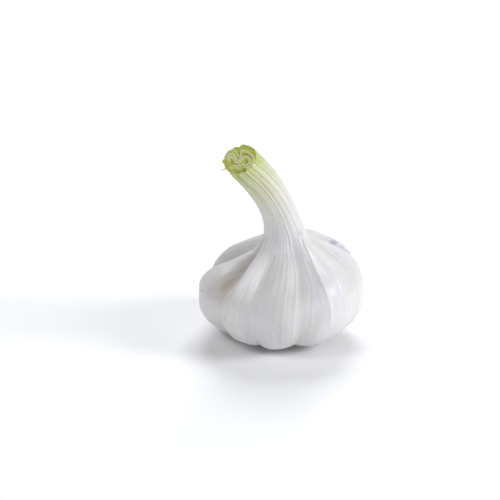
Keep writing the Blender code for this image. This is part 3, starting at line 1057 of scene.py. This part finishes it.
shares = np.linspace(0.0, 1.0, SCRAP_ROWS)
found = np.array([np.concatenate(on_skin(36.0 - 24.0 * u, 31.6 - 3.6 * u)) for u in shares])
found = [np.polyval(np.polyfit(shares, column, 3), shares) for column in found.T]
found = np.stack(found, axis=1)
scrap = np.zeros((SCRAP_ROWS, SCRAP_STEPS, 3))
for i, u in enumerate(shares):
    base_point, out, down = found[i, :3], found[i, 3:6], found[i, 6:]
    ragged = 0.35 * noise.noise((u * 9.0, 0.0, 4.0))
    reach_out = (SCRAP_REACH * math.sin(math.pi * u) ** 0.7 + ragged) * MM
    for j in range(SCRAP_STEPS):
        v = j / (SCRAP_STEPS - 1)
        ripple = 0.10 * MM * math.sin(11.0 * u + 3.0 * v) * v
        outward = reach_out * v + ripple - HIDDEN_EDGE
        scrap[i, j] = base_point + outward * out + 0.35 * reach_out * v**1.5 * down
add_sheet("loose_skin_scrap", scrap, SCRAP_THICKNESS, scrap_skin)

# %% [markdown]
# The shred is a strip of the green outer leaf that the knife left hanging from the rim. It starts on
# the rim, points away to the left and thins to a tip.

# %% The shred on the rim of the cut
SHRED_ROWS, SHRED_STEPS = 12, 4
SHRED_ANGLE = 217.0
SHRED_THICKNESS = 0.14 * MM

start = np.argmin(np.abs((rim_angle - SHRED_ANGLE + 180.0) % 360.0 - 180.0))
shred = np.zeros((SHRED_ROWS, SHRED_STEPS, 3))
for i in range(SHRED_ROWS):
    u = i / (SHRED_ROWS - 1)
    sag = 0.1 * math.sin(7.0 * u) - 0.5 * u**2
    middle_line = skin_points[1, start] + (0.5 - 2.6 * u) * MM * to_right + sag * MM * to_top
    half = (0.30 - 0.22 * u + 0.05 * math.sin(19.0 * u)) * MM
    for j in range(SHRED_STEPS):
        v = 2.0 * j / (SHRED_STEPS - 1) - 1.0
        cupped = (0.3 * u - 0.25 * v**2) * MM * CUT_DIRECTION
        shred[i, j] = middle_line + v * half * to_top + cupped
add_sheet("leaf_shred", shred, SHRED_THICKNESS, flesh)

# %% [markdown]
# Grains of soil are knobbly balls, a few tenths of a millimetre across, half sunk in the skin. Dry
# soil is as matt as chalk, with dark crumbs beside paler ones.

# %% Soil
soil, tree, shader = new_material("dry_dark_soil")
body_place = add_node(tree, "TexCoord", out="Object")
crumb_noise = {"Scale": 2500.0, "Detail": 2.0}
crumbs = add_node(tree, "TexNoise", values=crumb_noise, links={"Vector": body_place})
earths = {6: hex_colour("#2E251E"), 7: hex_colour("#6A5442")}
earth = add_node(tree, "Mix", OF_COLOURS, earths, {0: crumbs}, MIXED)
tree.links.new(earth, shader.inputs["Base Color"])
shader.inputs["Roughness"].default_value = 0.9

# %% Grains of soil
SKIN_GRAINS = (  # angle, height in mm, radius in mm
    (251, 24.6, 0.16), (280, 37.5, 0.16), (317, 17.0, 0.14), (262, 60.5, 0.10),
    (300, 63.0, 0.15), (275, 57.5, 0.10), (228, 14.0, 0.18), (196, 19.0, 0.22),
    (140, 25.0, 0.22), (88, 12.0, 0.24), (60, 27.0, 0.2), (20, 15.0, 0.2),
    (167, 9.0, 0.25), (115, 48.0, 0.18),
)
RIM_GRAINS = ((292.0, 0.36), (266.0, 0.24), (281.0, 0.14))  # angle round the cut, radius in mm

grain_places = [(on_skin(angle, level)[0], size) for angle, level, size in SKIN_GRAINS]
for angle, size in RIM_GRAINS:
    column = np.argmin(np.abs((rim_angle - angle + 180.0) % 360.0 - 180.0))
    grain_places.append((skin_points[0, column] * 0.97 + 0.03 * CUT_CENTRE, size))
grain_mesh = bmesh.new()
for grain_place, size in grain_places:
    before = len(grain_mesh.verts)
    bmesh.ops.create_icosphere(grain_mesh, subdivisions=2, radius=size * MM)
    grain_mesh.verts.ensure_lookup_table()
    for vert in grain_mesh.verts[before:]:
        lump = noise.noise(vert.co * (1.2 / (size * MM)) + Vector((before, 0, 0)))
        vert.co = Vector(grain_place) + vert.co * (1.0 + 0.5 * lump)
soil_mesh = bpy.data.meshes.new("soil_grains")
grain_mesh.to_mesh(soil_mesh)
grain_mesh.free()
soil_mesh.materials.append(soil)
grains = bpy.data.objects.new("soil_grains", soil_mesh)
bpy.context.scene.collection.objects.link(grains)
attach(grains, "root")
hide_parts("bulb")
print(len(grain_places), "grains of soil")

# %% [markdown]
# ## The root plate
#
# Under the cloves sits the stem itself, a flat corky plate. It is a disc of rings from the middle of
# its underside, round its edge and back to the middle of its top. The edge is rounded, and the
# underside is lumpy where roots broke off.

# %% Shape of the root plate
PLATE_COLUMNS = 96
PLATE_ROUNDING = 0.7 * MM
PLATE_LUMPS = 0.25 * MM

plate_shares = np.concatenate([np.linspace(0.05, 0.92, 16), [1.0]])
turn = np.linspace(0.0, 2 * np.pi, PLATE_COLUMNS, endpoint=False)
plate_rings = []
for level, order, inward in (
    (plate_low[2], plate_shares, 1),
    (plate_high[2], plate_shares[::-1], -1),
):
    for share in order:
        x = share * plate_high[0] * np.cos(turn)
        y = share * plate_high[0] * np.sin(turn)
        z = level + PLATE_ROUNDING * fade(share, 0.85, 1.0) * inward + 0.0 * turn
        if inward == 1:
            bumpy = [noise.noise((a * 700, b * 700, level * 900)) for a, b in zip(x, y)]
            z += PLATE_LUMPS * np.array(bumpy)
        plate_rings.append(np.stack([x, y, z], axis=-1))
plate_rings = np.array(plate_rings)[::-1]
plate_top, plate_foot = np.array([[0, 0, plate_high[2]]]), np.array([[0, 0, plate_low[2]]])
plate_mesh = ring_mesh("root_plate_cork", plate_rings, plate_top, plate_foot)
plate = bpy.data.objects.new("root_plate_cork", plate_mesh)
bpy.context.scene.collection.objects.link(plate)
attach(plate, "root")
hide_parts("root_plate")
print("root plate", len(plate_mesh.vertices), "points")

# %% [markdown]
# The plate dried to cork: dead cells full of air, matt and brown, with pits of a millimetre or so
# that catch the shadow.

# %% Cork of the root plate
cork, tree, shader = new_material("dry_root_cork")
body_place = add_node(tree, "TexCoord", out="Object")
pit_noise = {"Scale": 900.0, "Detail": 5.0, "Roughness": 0.7}
pits = add_node(tree, "TexNoise", values=pit_noise, links={"Vector": body_place})
pit_part = add_node(tree, "MapRange", values=MIDDLE_SPREAD, links={0: pits})
browns = {6: hex_colour("#6E5738"), 7: hex_colour("#B09A72")}
brown = add_node(tree, "Mix", OF_COLOURS, browns, {0: pit_part}, MIXED)
tree.links.new(brown, shader.inputs["Base Color"])
shader.inputs["Roughness"].default_value = 0.85
pit_relief = {"Strength": 0.8, "Distance": 0.3 * MM}
pit_bump = add_node(tree, "Bump", values=pit_relief, links={"Height": pits})
tree.links.new(pit_bump, shader.inputs["Normal"])
plate_mesh.materials.append(cork)

# %% [markdown]
# ## The roots
#
# The roots grew from the plate in their dozens, and were trimmed and dried to brown threads, which
# the standing bulb presses flat. Each root is a curve with a round section that thins to its tip. It
# goes down from the plate to near the table, then wanders outwards and curls.
#
# A Curve object draws them all at once, and is turned into a mesh at the end.

# %% Lines of the roots
ROOTS = 190
ROOT_POINTS = 9
ROOT_RADIUS = 0.26 * MM
ROOT_START = plate_low[2] + 0.3 * MM
ROOT_STEP = 0.28
ROOT_LIMIT = tuft_high[0] + 2.2 * MM
LOWEST_ROOT = 0.29 * MM

root_curve = bpy.data.curves.new("dried_roots", "CURVE")
root_curve.dimensions = "3D"
root_curve.bevel_depth = ROOT_RADIUS
root_curve.bevel_resolution = 1
root_curve.resolution_u = 3
root_curve.use_fill_caps = True
for i in range(ROOTS):
    heading = rng.uniform(0, 2 * np.pi)
    reach_out = rng.uniform(1.0, 5.0) * MM
    start_r = math.sqrt(rng.uniform(0.02, 1.0)) * 0.86 * plate_high[0]
    rest_z = rng.uniform(0.3, 1.9) * MM
    curl = rng.uniform(-1.6, 1.6)
    bow = rng.uniform(0.5, 2.5)
    facing = heading + rng.uniform(-0.9, 0.9)
    x, y = start_r * math.cos(heading), start_r * math.sin(heading)
    spline = root_curve.splines.new("POLY")
    spline.points.add(ROOT_POINTS - 1)
    for k in range(ROOT_POINTS):
        t = k / (ROOT_POINTS - 1)
        z = ROOT_START + (rest_z - ROOT_START) * min(1.0, 2.2 * t)
        z += 0.25 * MM * math.sin(bow * 5.0 * t) * t
        too_far = max(1.0, math.hypot(x, y) / ROOT_LIMIT)
        x, y = x / too_far, y / too_far
        spline.points[k].co = (x, y, max(z, LOWEST_ROOT), 1.0)
        spline.points[k].radius = 1.0 - 0.65 * t
        facing += curl * 0.35 + rng.uniform(-0.25, 0.25)
        x += math.cos(facing) * reach_out * ROOT_STEP
        y += math.sin(facing) * reach_out * ROOT_STEP

# %% Roots as a mesh
curve_object = bpy.data.objects.new("root_lines", root_curve)
bpy.context.scene.collection.objects.link(curve_object)
evaluated = curve_object.evaluated_get(bpy.context.evaluated_depsgraph_get())
root_mesh = bpy.data.meshes.new_from_object(evaluated)
bpy.data.objects.remove(curve_object)
roots = bpy.data.objects.new("dried_roots", root_mesh)
bpy.context.scene.collection.objects.link(roots)
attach(roots, "root")
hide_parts("root_tuft")
print(ROOTS, "roots,", len(root_mesh.vertices), "points")

# %% [markdown]
# A dried root is a wrinkled thread. It is matt, and goes from tan to dark brown within a few
# millimetres, so that the tuft looks tangled and not like one lump.

# %% Threads of the roots
thread, tree, shader = new_material("dried_root_thread")
body_place = add_node(tree, "TexCoord", out="Object")
thread_noise = {"Scale": 500.0, "Detail": 3.0}
wrinkles = add_node(tree, "TexNoise", values=thread_noise, links={"Vector": body_place})
wrinkle_part = add_node(tree, "MapRange", values=MIDDLE_SPREAD, links={0: wrinkles})
tans = {6: hex_colour("#7A5A38"), 7: hex_colour("#C7B08A")}
tan = add_node(tree, "Mix", OF_COLOURS, tans, {0: wrinkle_part}, MIXED)
tree.links.new(tan, shader.inputs["Base Color"])
shader.inputs["Roughness"].default_value = 0.75
thread_relief = {"Strength": 0.5, "Distance": 0.1 * MM}
thread_bump = add_node(tree, "Bump", values=thread_relief, links={"Height": wrinkles})
tree.links.new(thread_bump, shader.inputs["Normal"])
root_mesh.materials.clear()
root_mesh.materials.append(thread)

# %% [markdown]
# ## Finish
#

# %% Update the scene
bpy.context.view_layer.update()
